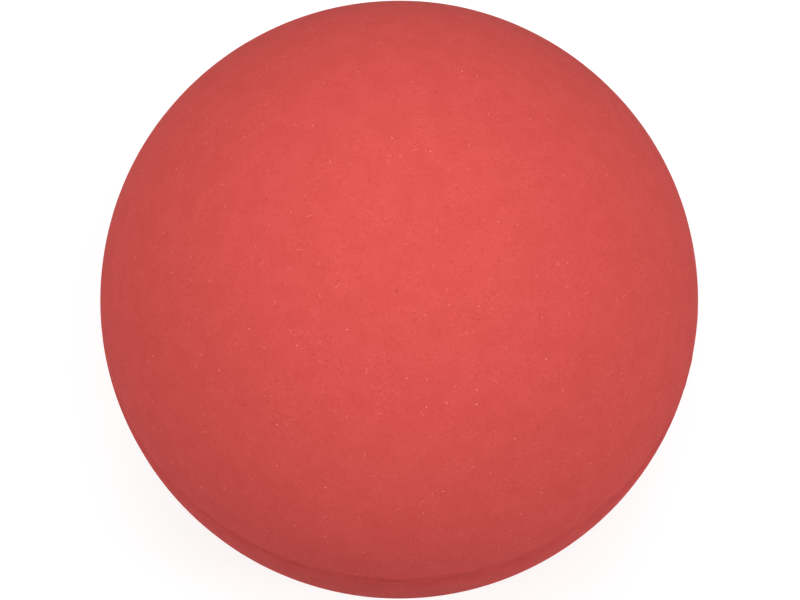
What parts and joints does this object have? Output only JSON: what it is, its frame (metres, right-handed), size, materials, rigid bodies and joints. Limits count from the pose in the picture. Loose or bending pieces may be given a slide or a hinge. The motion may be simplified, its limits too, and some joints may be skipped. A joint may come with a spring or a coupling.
{
  "type": "rubber ball",
  "caption": "Hollow moulded rubber ball, cemented together round its equator, for throwing, bouncing and catching by hand.",
  "frame": {"origin": "centre of the ball, in the plane of the seam between its two half shells", "axes": "+Z square to the seam plane, through the poles of the half shells, towards the upper one; +X and +Y lie in the seam plane"},
  "size_m": [0.06, 0.06, 0.06],
  "materials": {
    "rubber_skin": "matte",
    "rubber_cement": "matte"
  },
  "bodies": {
    "root": {"upper_half_shell": "rubber_skin", "lower_half_shell": "rubber_skin", "seam_cement_ring": "rubber_cement"}
  },
  "joints": []
}
